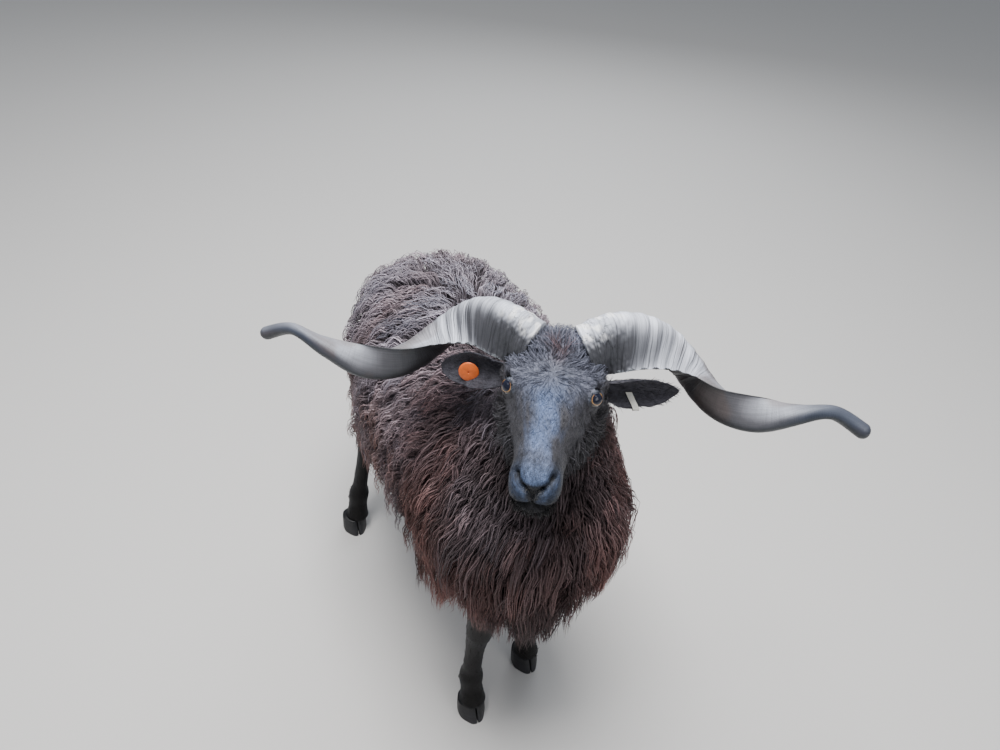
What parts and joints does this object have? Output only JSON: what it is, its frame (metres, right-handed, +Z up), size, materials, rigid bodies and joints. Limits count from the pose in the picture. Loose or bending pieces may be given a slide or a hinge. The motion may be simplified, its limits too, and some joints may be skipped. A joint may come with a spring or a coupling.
{
  "type": "standing racka ram",
  "caption": "Life-size model of a dark horned ram standing on four hooves, with long wavy fleece, spreading twisted horns and an ear tag in each ear",
  "frame": {"origin": "centre of the bounding box's base, on the floor that the hooves stand on", "axes": "+X is the ram's left, +Y runs to its tail, +Z is up"},
  "size_m": [0.7022, 1.0196, 0.9064],
  "materials": {
    "fleece": "long dark brown wool",
    "face": "short black hair",
    "horn": "ridged grey horn",
    "eye": "wet amber",
    "hoof": "dull dark horn",
    "tag_orange": "satin",
    "tag_white": "satin"
  },
  "bodies": {
    "root": {"torso": "fleece", "neck": "fleece", "tail": "fleece", "head": "face", "ear_left": "face", "ear_right": "face", "eye_left": "eye", "eye_right": "eye", "horn_left": "horn", "horn_right": "horn", "leg_front_left": "face", "leg_front_right": "face", "leg_hind_left": "face", "leg_hind_right": "face", "hoof_front_left_left": "hoof", "hoof_front_left_right": "hoof", "hoof_front_right_left": "hoof", "hoof_front_right_right": "hoof", "hoof_hind_left_left": "hoof", "hoof_hind_left_right": "hoof", "hoof_hind_right_left": "hoof", "hoof_hind_right_right": "hoof", "tag_round": "tag_orange", "tag_strip": "tag_white"}
  },
  "joints": []
}
